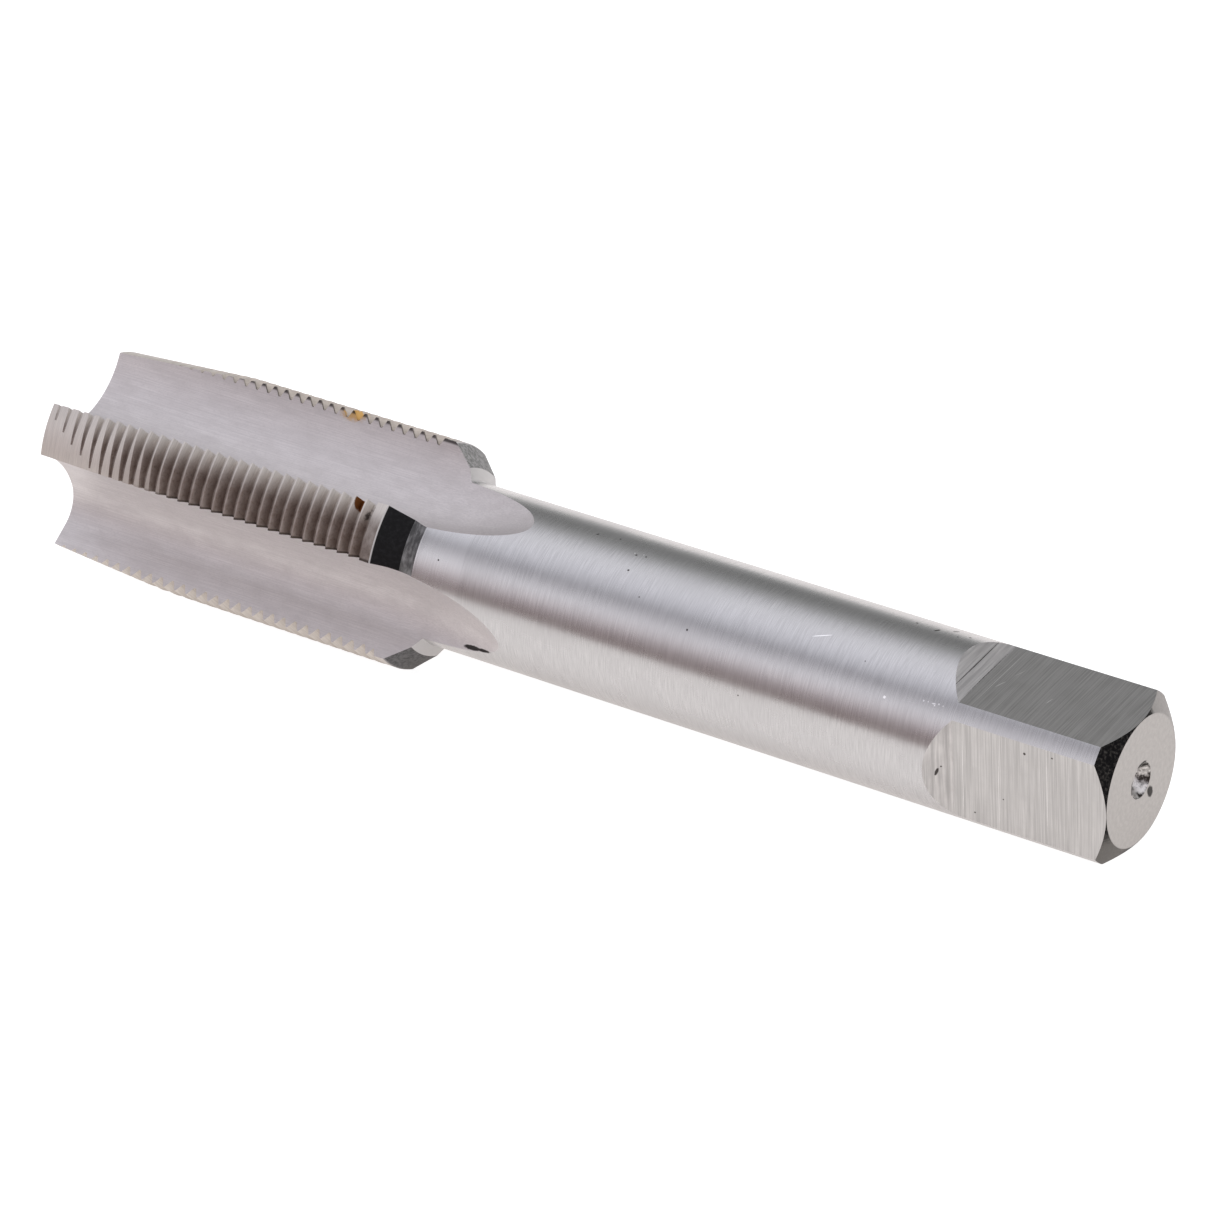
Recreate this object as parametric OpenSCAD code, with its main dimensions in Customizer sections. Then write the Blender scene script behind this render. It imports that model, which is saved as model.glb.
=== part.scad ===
// Hand tap for a fine metric thread: right hand, four straight flutes, long taper lead.
// It is one solid, ground from a bar of high speed steel, with a drive square on a thinner shank.
// The axis lies along X, with the origin halfway along it, the cutting tip at -X and the drive
// square at +X. Z is up and one flute faces up, so the tap lies on two of its four lands.

/* [Overall] */
// Length from the cutting tip to the end of the drive square
overall_l = 130; // [115:1:170]
// Diameter of the shank
shank_d = 18; // [16:0.5:20]

/* [Thread] */
// Outside diameter of the thread
thread_d = 25; // [24:0.5:27]
// Pitch of the thread
pitch = 1.5; // [1:0.25:2]
// Length of the threaded head, from the tip to the start of the back chamfer
thread_l = 44.8; // [38:0.1:60]
// Length of the plain collar between the last groove and the back chamfer
collar_l = 1.2; // [0.6:0.1:3]
// How much smaller the collar is than the thread, on the radius
collar_drop = 0.03; // [0.02:0.01:0.1]

/* [Lead] */
// Length over which the teeth taper, measured along the cutting edges
lead_l = 12; // [6:0.5:18]
// Angle between the tapered crests and the axis
lead_angle = 4; // [3:0.5:6]
// How far the taper falls from the cutting edge of a land to its heel
lead_relief = 0.3; // [0.1:0.05:0.5]

/* [Flutes] */
// Part of the round that each land takes, in degrees
land_angle = 29.2; // [24:0.2:36]
// Diameter of the core that is left between the flutes
core_d = 11.5; // [10.5:0.1:12.5]
// Radius of the flute's bottom beside the cutting face
face_r = 4; // [3.4:0.1:4.4]
// How far the flute's deepest line is turned towards the cutting face, in degrees
deep_turn = 7.5; // [5:0.5:10]
// Diameter of the grinding wheel, which shapes the end of each flute
wheel_d = 100; // [60:5:160]
// How far ahead of the back chamfer the bottom of each flute starts to rise
wheel_lead = 3.5; // [1:0.1:8]

/* [Back of the thread] */
// Length of the back chamfer
back_l = 2.5; // [1:0.1:4]
// Diameter where the back chamfer ends
back_d = 20.6; // [20.2:0.1:22]
// Length of the step from there down to the shank
neck_l = 1.4; // [0.5:0.1:3]

/* [Drive square] */
// Width across the flats of the square
square_w = 14; // [12:0.1:14.6]
// Length of the flats
square_l = 17.3; // [12:0.1:24]
// Length of the ramp that ends each flat
ramp_l = 2.4; // [1:0.1:5]
// Angle between the flats and the flutes
square_turn = 4.3; // [-20:0.1:20]
// Diameter of the end face
end_d = 14.3; // [12:0.1:15]
// Length of the chamfer at the end
end_l = 1.3; // [0.5:0.1:2]

/* [Centre holes] */
// Diameter of the mouth of each centre hole
centre_d = 3.8; // [2.6:0.1:5]
// Diameter of the small hole at the bottom of each centre hole
pilot_d = 1.6; // [1:0.1:2.4]
// Depth of the small hole, past its cone
pilot_l = 2.2; // [1:0.1:5]

/* [Hidden] */
steel = [0.74, 0.73, 0.74];

flutes = 4;
pitch_angle = 360 / flutes;
thread_r = thread_d / 2;
shank_r = shank_d / 2;
tip_z = -overall_l;
back_z = thread_l - overall_l;
// The head is made a little too long, and the tip's flat face is cut last
spare = 1;
spare_z = tip_z - spare;

// Thread form: flanks of 60 degrees, a flat on the crests and a narrow flat at the roots.
// The flanks run on a little below the root surface, so that they meet it at a clear angle.
flank = 30;
crest_w = pitch / 8;
thread_depth = 0.6134 * pitch;
root_r = thread_r - thread_depth;
sunk = 0.15;
base_w = crest_w + 2 * (thread_depth + sunk) * tan(flank);
helix = atan(pitch / (PI * (thread_d - thread_depth)));
// The teeth are cut a little wider than the land, and the flutes trim them to it
tooth_angle = land_angle + 12;
land_sector = pitch_angle - 10;
collar_z = back_z - collar_l;
collar_base = collar_z - (thread_depth + sunk) * tan(flank);

// Teeth in a row: the first stands against the collar, the last reaches the tip
first_tooth = collar_z - 0.6 * pitch;
teeth = ceil((first_tooth - tip_z) / pitch) + 1;

// The axis of the lead's cone is beside the tool's axis
lead_offset = lead_relief / (2 * sin(land_angle / 2));
inner_r = core_d / 2 + 1.2;

// Section of a flute, across the axis: x runs out from the axis, y towards the cutting face.
// Its parts meet at a slight angle, so that each one ends clearly inside the next.
part_angle = 5;
part_bite = 0.01;
part_lap = 0.6;
deepest = polar(core_d / 2, deep_turn);
gap_half = (pitch_angle - land_angle) / 2;
cutting_edge = polar(thread_r, gap_half);
heel = polar(thread_r, -gap_half);
to_face = polar(1, deep_turn + part_angle / 2);
face_c = deepest + face_r * to_face;
to_heel = polar(1, deep_turn - part_angle / 2);
heel_r = pow(norm(heel - deepest), 2) / (2 * (heel - deepest) * to_heel);
heel_c = deepest + heel_r * to_heel;
to_edge = cutting_edge - face_c;
inner_face_r = face_r - part_bite;
face_turn = atan2(to_edge.y, to_edge.x) + acos(inner_face_r / norm(to_edge));
face_start = face_c + polar(inner_face_r, face_turn);
face_end = cutting_edge + 4 * (cutting_edge - face_start) / norm(cutting_edge - face_start);
section_reach = thread_r + 3;
section_top = polar(section_reach + 4, deep_turn);
heelward = polar(1, deep_turn - 90);

wheel_r = wheel_d / 2;
wheel_x = deepest.x + wheel_r;
rise_z = back_z - wheel_lead;
wheel_sweep = acos((wheel_x - section_reach) / wheel_r) + 6;

function polar(r, a) = [r * cos(a), r * sin(a)];

// Puts the tool's axis along X, with the origin halfway along it
module lay_down() {
    translate([overall_l / 2, 0, 0])
        rotate([0, 90, 0]) children();
}

// Everything turned round the axis: core of the head, collar, back chamfer, neck and shank
module turned_blank() {
    rotate_extrude($fn = 120)
        polygon([
            [0, spare_z],
            [inner_r, spare_z],
            [inner_r, collar_base],
            [root_r - sunk, collar_base],
            [thread_r - collar_drop, collar_z],
            [thread_r - collar_drop, back_z],
            [back_d / 2, back_z + back_l],
            [shank_r, back_z + back_l + neck_l],
            [shank_r, -end_l],
            [end_d / 2, 0],
            [0, 0]
        ]);
}

// One tooth of one land: a short arc of the thread, tilted by the thread's helix angle
module tooth() {
    rotate([helix, 0, 0])
        rotate([0, 0, -tooth_angle / 2])
            rotate_extrude(angle = tooth_angle, $fn = 180)
                polygon([
                    [root_r - sunk, -base_w / 2],
                    [thread_r, -crest_w / 2],
                    [thread_r, crest_w / 2],
                    [root_r - sunk, base_w / 2]
                ]);
}

// The teeth of one land. Each land's row follows the helix, and a tooth that would stand in the
// collar is left out.
module tooth_row(index) {
    for (i = [0 : teeth])
        let (z = first_tooth - i * pitch + index * pitch / flutes)
            if (z < collar_z)
                translate([0, 0, z]) tooth();
}

// The body of a land under its teeth, from the tip into the collar
module land_body() {
    translate([0, 0, spare_z])
        rotate([0, 0, -land_sector / 2])
            rotate_extrude(angle = land_sector, $fn = 180)
                translate([inner_r - 1, 0])
                    square([root_r - inner_r + 1, collar_z - spare_z]);
}

// The cone that the lead of one land is ground to. Its axis is beside the tool's axis, so the
// land falls away behind its cutting edge.
module lead_cone() {
    start_r = thread_r - lead_relief / 2 - (lead_l + spare) * tan(lead_angle);
    translate([0, -lead_offset, spare_z])
        cylinder(h = thread_l, r1 = start_r, r2 = start_r + thread_l * tan(lead_angle), $fn = 180);
}

// One land with its teeth
module land(index) {
    intersection() {
        union() {
            land_body();
            tooth_row(index);
        }
        lead_cone();
    }
}

module threaded_head() {
    for (i = [0 : flutes - 1])
        rotate([0, 0, (i + 0.5) * pitch_angle])
            land(i);
}

// The section's three parts: the round bottom below the cutting face, the long round bottom
// that runs up to the heel, and the space between the straight cutting face and the heel.
// They overlap inside the flute, so that no skin is left between them.
module face_round() {
    translate(face_c)
        circle(r = face_r, $fn = 120);
}

module heel_round() {
    intersection() {
        translate(heel_c)
            circle(r = heel_r, $fn = 180);
        rotate(deep_turn)
            translate([0, part_lap - 2 * section_reach])
                square([4 * section_reach, 2 * section_reach]);
        square(2 * section_reach, center = true);
    }
}

module face_wedge() {
    intersection() {
        polygon([
            face_c + heelward,
            face_start,
            face_end,
            section_top,
            section_top + 2 * heelward
        ]);
        square(2 * section_reach, center = true);
    }
}

// Repeats a flute's cut for every flute
module every_flute() {
    for (i = [0 : flutes - 1])
        rotate([0, 0, i * pitch_angle]) children();
}

// The straight length of a flute, from beyond the tip
module straight_flute() {
    translate([0, 0, spare_z - spare])
        linear_extrude(rise_z - spare_z + spare) {
            face_round();
            heel_round();
            face_wedge();
        }
}

// The end of a flute, where the grinding wheel leaves the steel along its own curve
module wheel_end() {
    translate([wheel_x, 0, rise_z])
        rotate([90, 0, 180])
            rotate_extrude(angle = wheel_sweep, $fn = 360)
                translate([wheel_x, 0])
                    mirror([1, 0])
                        children();
}

// The wheel's parts are cut one after another, because they touch along smooth lines
module fluted_body() {
    difference() {
        difference() {
            difference() {
                difference() {
                    union() {
                        turned_blank();
                        threaded_head();
                    }
                    every_flute() straight_flute();
                }
                every_flute() wheel_end() face_round();
            }
            every_flute() wheel_end() heel_round();
        }
        every_flute() wheel_end() face_wedge();
    }
}

// What is milled away above one flat of the drive square
module square_cut() {
    over = 2;
    ramp_slope = ramp_l / (shank_r - square_w / 2);
    rotate([90, 0, 0])
        linear_extrude(2 * shank_d, center = true)
            polygon([
                [square_w / 2, over],
                [square_w / 2, -square_l],
                [shank_r + over, -square_l - ramp_slope * (shank_r + over - square_w / 2)],
                [shank_r + over, over]
            ]);
}

// A centre hole that opens towards +Z at the origin: a cone of 60 degrees and a small hole
module centre_hole() {
    over = 0.5;
    cone_l = (centre_d - pilot_d) / 2 / tan(30);
    rotate_extrude($fn = 48)
        polygon([
            [0, over],
            [centre_d / 2 + over * tan(30), over],
            [pilot_d / 2, -cone_l],
            [pilot_d / 2, -cone_l - pilot_l],
            [0, -cone_l - pilot_l - pilot_d / 2 * tan(30)]
        ]);
}

module tap() {
    color(steel)
        lay_down()
            difference() {
                fluted_body();
                for (i = [0 : 3])
                    rotate([0, 0, i * 90 - square_turn])
                        square_cut();
                centre_hole();
                translate([0, 0, tip_z])
                    mirror([0, 0, 1])
                        centre_hole();
                translate([0, 0, tip_z - 3 * spare])
                    cylinder(h = 3 * spare, r = section_reach);
            }
}

tap();
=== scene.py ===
"""Dresses the thread tap: its ground, threaded and fluted body, its steel finishes and a studio."""

import math

import bpy
import numpy as np
from mathutils import Matrix, Vector


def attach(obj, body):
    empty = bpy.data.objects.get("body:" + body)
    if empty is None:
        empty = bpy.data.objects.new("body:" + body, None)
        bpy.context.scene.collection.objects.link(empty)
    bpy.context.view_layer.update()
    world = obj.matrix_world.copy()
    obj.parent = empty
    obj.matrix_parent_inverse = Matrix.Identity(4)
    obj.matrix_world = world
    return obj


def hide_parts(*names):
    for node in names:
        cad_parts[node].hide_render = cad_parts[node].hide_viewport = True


bl_info = {
    "name": "Thread tap",
    "version": (1, 0, 0),
    "blender": (4, 5, 0),
    "location": "View3D > Sidebar > Tap",
    "description": "A hand tap with a fine thread, in ground high speed steel",
    "category": "Add Mesh",
}

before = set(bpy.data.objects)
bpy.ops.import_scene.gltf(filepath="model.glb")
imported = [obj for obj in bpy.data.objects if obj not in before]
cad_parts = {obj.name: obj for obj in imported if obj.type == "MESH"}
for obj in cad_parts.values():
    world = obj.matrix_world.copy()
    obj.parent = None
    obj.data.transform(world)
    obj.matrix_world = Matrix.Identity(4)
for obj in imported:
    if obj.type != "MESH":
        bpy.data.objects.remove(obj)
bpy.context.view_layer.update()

MM = 0.001

# Which surface a face belongs to. The numbers are the material slots of the body.
SHANK, NECK, SCALE, COLLAR, CREST, DRIVE_FLANK, TIP_FLANK, ROOT = range(8)
TIP_FACE, END_CONE, END_DISC, HOLE, FLUTE, FLAT, RAMP = range(8, 15)
SURFACES = 15


def linear(colour):
    """An sRGB hex colour as linear red, green, blue and alpha."""
    parts = [int(colour[i : i + 2], 16) / 255 for i in (1, 3, 5)]
    return [c / 12.92 if c <= 0.04045 else ((c + 0.055) / 1.055) ** 2.4 for c in parts] + [1.0]


class TapColours(bpy.types.PropertyGroup):
    """Colours of the tap's finishes."""

    shank: bpy.props.FloatVectorProperty(
        name="Shank", description="Ground steel of the shank",
        default=linear("#CFCFCF"), size=4, subtype="COLOR",
    )
    thread: bpy.props.FloatVectorProperty(
        name="Thread", description="Clean ground steel of the thread",
        default=linear("#E2DDD6"), size=4, subtype="COLOR",
    )
    # this colour also makes the painted shade on the flutes' heels and in the groove by the collar
    residue: bpy.props.FloatVectorProperty(
        name="Residue", description="Oil residue on the thread",
        default=linear("#8F827A"), size=4, subtype="COLOR",
    )
    flute: bpy.props.FloatVectorProperty(
        name="Flutes", description="Ground steel of the flutes",
        default=linear("#E2DEDD"), size=4, subtype="COLOR",
    )
    square: bpy.props.FloatVectorProperty(
        name="Square", description="Milled steel of the square",
        default=linear("#C9C8C6"), size=4, subtype="COLOR",
    )
    ends: bpy.props.FloatVectorProperty(
        name="Ends", description="Faced steel of both ends",
        default=linear("#C4C2BF"), size=4, subtype="COLOR",
    )
    scale: bpy.props.FloatVectorProperty(
        name="Scale", description="Black hardening scale",
        default=linear("#121213"), size=4, subtype="COLOR",
    )
    rust: bpy.props.FloatVectorProperty(
        name="Rust", description="Rust spot in the thread",
        default=linear("#6E4424"), size=4, subtype="COLOR",
    )
    gold: bpy.props.FloatVectorProperty(
        name="Stain", description="Golden stain on the upper land",
        default=linear("#D9AE62"), size=4, subtype="COLOR",
    )


class TapShape(bpy.types.PropertyGroup):
    """Sizes of the tap, in metres, as the frame has them."""

    length: bpy.props.FloatProperty(
        name="Length", description="From the tip to the end of the square",
        default=0.13, unit="LENGTH",
    )
    shank_d: bpy.props.FloatProperty(
        name="Shank", description="Diameter of the shank", default=0.018, unit="LENGTH"
    )
    thread_d: bpy.props.FloatProperty(
        name="Thread", description="Outside diameter of the thread", default=0.025, unit="LENGTH"
    )
    pitch: bpy.props.FloatProperty(
        name="Pitch", description="Pitch of the thread", default=0.0015, unit="LENGTH"
    )
    core_d: bpy.props.FloatProperty(
        name="Core", description="Diameter of the core between the flutes",
        default=0.0115, unit="LENGTH",
    )
    square_w: bpy.props.FloatProperty(
        name="Square", description="Width across the flats", default=0.014, unit="LENGTH"
    )


# ---- body
#
# From here on lengths are millimetres. s is a distance from the drive end. Angles are degrees round
# the axis from +Z towards +Y, and in that sense the cutting edge of each land leads.

# The length for which all places are drawn. Past SHANK_MIDDLE they move with another length.
LENGTH = 130.0
SHANK_MIDDLE = 40.0

# A centre hole from its mouth down, as (depth, radius)
CENTRE_HOLE = ((0.0, 1.9), (1.905, 0.8), (4.105, 0.8), (4.57, 0.0))
END_R, END_CHAMFER = 6.97, 1.3
SHANK_RINGS, RING_STEP = 32, 2.4
NECK_S, SCALE_S, BACK_S, COLLAR_S = 81.9, 82.7, 85.2, 86.4
BACK_R = 10.3
COLLAR_DROP = 0.03
TIP_RING_R = 6.95

# The middles of the lands and the part of the round that each takes. Each is drawn a little wider,
# because the flutes are cut afterwards.
LANDS = (-135, -45, 45, 135)
LAND_ANGLE = 29.2
LAND_HALF = 22
FLUTE_COLUMNS = 22

# The thread's flanks take 60 degrees. Its depth and half the width of its crests are in pitches. A
# tooth stands at HELIX_START on the last land.
FLANK_T = math.tan(math.radians(30))
THREAD_DEPTH, CREST_HALF = 0.6134, 1 / 16
HELIX_START = 87.0

# The lead is a cone of 4 degrees about a line beside the tap's axis, so that each land falls away
# behind its cutting edge. LEAD_DROP is how much lower than the thread it is at the tip.
LEAD_T = math.tan(math.radians(4))
LEAD_DROP = 1.036
LEAD_OFFSET = 1.33
ON_LEAD = 0.004
TIP_DRAW = 0.002


def extra(shape):
    """How much longer the tap is than drawn."""
    return round(shape.length / MM - LENGTH, 3)


def station(shape, s):
    """The place along X of what is drawn at s."""
    return shape.length / MM / 2 - s - (extra(shape) if s > SHANK_MIDDLE else 0.0)


def columns():
    """The body's columns as (angle, land, between). A column in a flute has no land, and lies between
    two columns of lands at a share of the way."""
    made = []
    gap = 90 - 2 * LAND_HALF
    for land in LANDS:
        made += [(land + d, land, None) for d in range(-LAND_HALF, LAND_HALF + 1)]
        last = len(made) - 1
        following = 0 if land == LANDS[-1] else last + FLUTE_COLUMNS + 1
        for i in range(1, FLUTE_COLUMNS + 1):
            share = i / (FLUTE_COLUMNS + 1)
            made.append((land + LAND_HALF + gap * share, None, (last, following, share)))
    return made


def rounded(points, radii, steps=4):
    """The line through points with its corners rounded to radii. Each new point comes with the number
    of the stretch that follows it."""
    made = []
    for i, (p, radius) in enumerate(zip(points, radii)):
        if not radius:
            made.append((p[0], p[1], i))
            continue
        a, b, c = (Vector(q) for q in (points[i - 1], p, points[i + 1]))
        to_a, to_c = (a - b).normalized(), (c - b).normalized()
        half = to_a.angle(to_c) / 2
        reach = radius / math.tan(half)
        centre = b + (to_a + to_c).normalized() * (radius / math.sin(half))
        first, last = b + to_a * reach - centre, b + to_c * reach - centre
        turn = first.angle_signed(last)
        for n in range(steps + 1):
            t = -turn * n / steps
            x = first.x * math.cos(t) - first.y * math.sin(t)
            y = first.x * math.sin(t) + first.y * math.cos(t)
            made.append((centre.x + x, centre.y + y, i if n >= steps / 2 else i - 1))
    return made


def stem_profile(shape):
    """Profile of the turned part, from its centre hole to the collar, as (s, radius, surface that
    follows)."""
    shank_r = shape.shank_d / MM / 2
    collar_r = shape.thread_d / MM / 2 - COLLAR_DROP
    points = list(reversed(CENTRE_HOLE)) + [(0.0, END_R), (END_CHAMFER, shank_r)]
    kinds = [HOLE, HOLE, HOLE, END_DISC, END_CONE, SHANK]
    radii = [0, 0, 0, 0.08, 0.1, 0.15]
    points += [(END_CHAMFER + RING_STEP * n, shank_r) for n in range(1, SHANK_RINGS + 1)]
    kinds += [SHANK] * SHANK_RINGS
    radii += [0] * SHANK_RINGS
    points += [(NECK_S, shank_r), (SCALE_S, BACK_R), (BACK_S, collar_r), (COLLAR_S, collar_r)]
    kinds += [NECK, SCALE, COLLAR, DRIVE_FLANK]
    radii += [0.3, 0.12, 0.06, 0]
    return [(s, r, kinds[k]) for s, r, k in rounded(points, radii)]


def relief_angle(off):
    """The angle at which a column meets the lead, in radians, when it lies off degrees from the middle
    of its land. Past the land's edges it stays the edge's."""
    return math.radians(max(-LAND_ANGLE / 2, min(LAND_ANGLE / 2, off)))


def lead_radius(top, s, relief):
    """Radius of a land's lead at s, for a thread of radius top, relief radians from the middle of the
    land towards its cutting edge."""
    own = top - LEAD_DROP + (LENGTH - s) * LEAD_T
    return LEAD_OFFSET * math.sin(relief) + math.sqrt(own**2 - (LEAD_OFFSET * math.cos(relief)) ** 2)


def first_tooth(pitch, land):
    """Where the first tooth stands whose crest lies past the collar all across its land. The thread is
    right-handed."""
    s = HELIX_START + pitch * (land - LANDS[-1]) / 360
    return s if s > COLLAR_S + pitch / 8 else s + pitch


def tooth_count(shape):
    """How many teeth reach from the collar to the tip."""
    return math.ceil((LENGTH - COLLAR_S) / (shape.pitch / MM))


def thread_column(shape, angle, land):
    """Points (s, radius) down one column of a land: the foot of the collar's flank, then four points
    for each tooth."""
    pitch, top = shape.pitch / MM, shape.thread_d / MM / 2
    collar_r = top - COLLAR_DROP
    depth = THREAD_DEPTH * pitch
    root, crest = top - depth, CREST_HALF * pitch
    foot = crest + depth * FLANK_T
    relief = relief_angle(angle - land)
    first = first_tooth(pitch, land) + pitch * (angle - land) / 360
    collar_foot = COLLAR_S + (collar_r - root) * FLANK_T
    if collar_foot <= first - foot:
        points = [(collar_foot, root), (first - foot, root)]
    else:
        # the collar's flank and the first tooth's meet above the root
        s = ((collar_r - top) * FLANK_T + COLLAR_S + first - crest) / 2
        points = [(s, collar_r - (s - COLLAR_S) / FLANK_T)] * 2
    for n in range(tooth_count(shape)):
        c = first + n * pitch
        # how far from the tooth's middle the lead cuts its two flanks
        over = top + crest / FLANK_T - lead_radius(top, c, relief)
        drive = min(max(over / (1 / FLANK_T + LEAD_T), crest), foot)
        tip = min(max(over / (1 / FLANK_T - LEAD_T), crest), foot)
        for s, a in ((c - drive, drive), (c + tip, tip), (c + foot, foot), (c + pitch - foot, foot)):
            flank_r = top - (a - crest) / FLANK_T
            points.append((s, min(flank_r, lead_radius(top, s, relief))))
    return points


def on_lead(top, stretch, off):
    """Does this stretch of a column lie on the cone of the lead?"""
    relief = relief_angle(off)
    return all(abs(r - lead_radius(top, s, relief)) < ON_LEAD for s, r in stretch)


def clipped(points):
    """Ends a column at the tip's flat face. What would stand past it is drawn together on the face."""
    made = []
    for s, r in points:
        if s < LENGTH:
            made.append((s, r))
        elif made[-1][0] < LENGTH:
            s0, r0 = made[-1]
            made.append((LENGTH, r0 + (r - r0) * (LENGTH - s0) / (s - s0)))
        else:
            made.append((LENGTH, made[-1][1] - TIP_DRAW))
    return made


def blank_mesh(shape):
    """The turned and threaded blank, before its flutes and flats are cut: vertices, faces and the
    surface of each face."""
    stem = stem_profile(shape)
    # past the collar come its flank's foot and then, for each tooth, crest, flank, root and flank
    teeth = [CREST, TIP_FLANK, ROOT, DRIVE_FLANK] * tooth_count(shape)
    kinds = [kind for _, _, kind in stem] + [ROOT, DRIVE_FLANK] + teeth[:-1]
    kinds += [TIP_FACE, TIP_FACE] + [HOLE] * len(CENTRE_HOLE)
    stem = [(s, r) for s, r, _ in stem]
    tip = [(LENGTH, TIP_RING_R)] + [(LENGTH - depth, r) for depth, r in CENTRE_HOLE]

    layout = columns()
    table = [
        None if land is None else stem + clipped(thread_column(shape, angle, land)) + tip
        for angle, land, _ in layout
    ]
    for j, (_, _, between) in enumerate(layout):
        if between:
            a, b, f = between
            pairs = zip(table[a], table[b])
            table[j] = [(p[0] * (1 - f) + q[0] * f, p[1] * (1 - f) + q[1] * f) for p, q in pairs]

    rows, around = len(table[0]), len(table)
    verts = [(station(shape, table[0][0][0]), 0.0, 0.0)]
    for i in range(1, rows - 1):
        for j, (angle, _, _) in enumerate(layout):
            s, r = table[j][i]
            a = math.radians(angle)
            verts.append((station(shape, s), r * math.sin(a), r * math.cos(a)))
    verts.append((station(shape, table[0][-1][0]), 0.0, 0.0))

    def at(i, j):
        return 1 + (i - 1) * around + j % around

    top = shape.thread_d / MM / 2
    faces = [(0, at(1, j + 1), at(1, j)) for j in range(around)]
    regions = [kinds[0]] * around
    for i in range(1, rows - 2):
        threaded = kinds[i] in (TIP_FLANK, ROOT, DRIVE_FLANK)
        for j, (angle, land, _) in enumerate(layout):
            faces.append((at(i, j), at(i, j + 1), at(i + 1, j + 1), at(i + 1, j)))
            cone = threaded and land and on_lead(top, table[j][i : i + 2], angle - land)
            regions.append(CREST if cone else kinds[i])
    last = len(verts) - 1
    faces += [(last, at(rows - 2, j), at(rows - 2, j + 1)) for j in range(around)]
    regions += [kinds[rows - 2]] * around
    return verts, faces, regions


# ---- cutters
#
# A flute's section has two axes: u out from the tap's axis, and v towards the cutting face.

FLUTES = (0, 90, 180, 270)
HALF_GAP = math.radians((90 - LAND_ANGLE) / 2)
DEEP_TURN = math.radians(7.5)
FACE_R, FACE_STEPS, FACE_OVERRUN = 4.0, 24, 4
HEEL_STEPS, HEEL_SWEEP = 30, 80
SECTION_BACK = ((17.5, -9.0), (19.5, 0.0))
STRAIGHT_S = (131.0, 110.0)

# From RISE_S on, a flute is lifted out along the curve of its grinding wheel
RISE_S = 88.7
WHEEL_R, WHEEL_STEPS, WHEEL_SWEEP = 50.0, 36, 42

# The ramp is 2.4 mm long where it climbs 2 mm, from a flat to the shank
SQUARE_TURN = 4.3
SQUARE_L = 17.3
RAMP_SLOPE = 2.4 / 2
CUT_OVER, CUT_HIGH, CUT_HALF = 2.0, 4, 6.5
RAMP_FACE = 2


def flute_curve(shape):
    """What a flute's section is drawn from, in the frame turned to its deepest line: centres, radii,
    and where the straight cutting face starts and ends. wheel_u is the height of the wheel's axis."""
    core, top = shape.core_d / MM / 2, shape.thread_d / MM / 2
    edge = np.array([math.cos(HALF_GAP - DEEP_TURN), math.sin(HALF_GAP - DEEP_TURN)]) * top
    heel = np.array([math.cos(HALF_GAP + DEEP_TURN), -math.sin(HALF_GAP + DEEP_TURN)]) * top
    face_c = np.array([core + FACE_R, 0.0])
    heel_r = ((heel[0] - core) ** 2 + heel[1] ** 2) / (2 * (heel[0] - core))
    to_edge = edge - face_c
    turn = math.atan2(to_edge[1], to_edge[0]) + math.acos(FACE_R / np.linalg.norm(to_edge))
    start = face_c + FACE_R * np.array([math.cos(turn), math.sin(turn)])
    return {
        "face_c": face_c,
        "heel_c": np.array([core + heel_r, 0.0]),
        "heel_r": heel_r,
        "turn": turn,
        "start": start,
        "along": (edge - start) / np.linalg.norm(edge - start),
        "edge": edge,
        "wheel_u": core * math.cos(DEEP_TURN) + WHEEL_R,
    }


def flute_section(curve):
    """Closed outline of a flute's cutter, in the turned frame."""
    points = [curve["edge"] + FACE_OVERRUN * curve["along"]]
    for n in range(FACE_STEPS + 1):
        a = curve["turn"] + (math.pi - curve["turn"]) * n / FACE_STEPS
        points.append(curve["face_c"] + FACE_R * np.array([math.cos(a), math.sin(a)]))
    for n in range(1, HEEL_STEPS + 1):
        a = math.pi + math.radians(HEEL_SWEEP) * n / HEEL_STEPS
        points.append(curve["heel_c"] + curve["heel_r"] * np.array([math.cos(a), math.sin(a)]))
    return np.array(points + [np.array(p) for p in SECTION_BACK])


def turned(points, angle):
    """Points of a plane turned by an angle."""
    c, s = math.cos(angle), math.sin(angle)
    return np.stack([points[:, 0] * c - points[:, 1] * s, points[:, 0] * s + points[:, 1] * c], 1)


def placed(shape, angle, s, u, v):
    """The point at s, u out from the axis at an angle, and v to that line's cutting side."""
    a = math.radians(angle)
    return station(shape, s), u * math.sin(a) - v * math.cos(a), u * math.cos(a) + v * math.sin(a)


def lofted(rings, around):
    """Faces of a closed skin over equal rings of points, with an end face at each end."""
    faces = [tuple(range(around))]
    for i in range(rings - 1):
        for j in range(around):
            k = (j + 1) % around
            faces.append((i * around + j, (i + 1) * around + j, (i + 1) * around + k, i * around + k))
    faces.append(tuple(reversed(range((rings - 1) * around, rings * around))))
    return faces


def flute_cutter(shape, angle):
    """The space of one flute: straight from beyond the tip, then lifted out with the wheel."""
    curve = flute_curve(shape)
    section = turned(flute_section(curve), DEEP_TURN)
    wheel_u = curve["wheel_u"]
    rings = [[(s, u, v) for u, v in section] for s in STRAIGHT_S]
    for n in range(WHEEL_STEPS + 1):
        t = math.radians(WHEEL_SWEEP) * n / WHEEL_STEPS
        c, d = math.cos(t), math.sin(t)
        rings.append([(RISE_S - (wheel_u - u) * d, wheel_u - (wheel_u - u) * c, v) for u, v in section])
    verts = [placed(shape, angle, s, u, v) for ring in rings for s, u, v in ring]
    return verts, lofted(len(rings), len(section))


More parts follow.
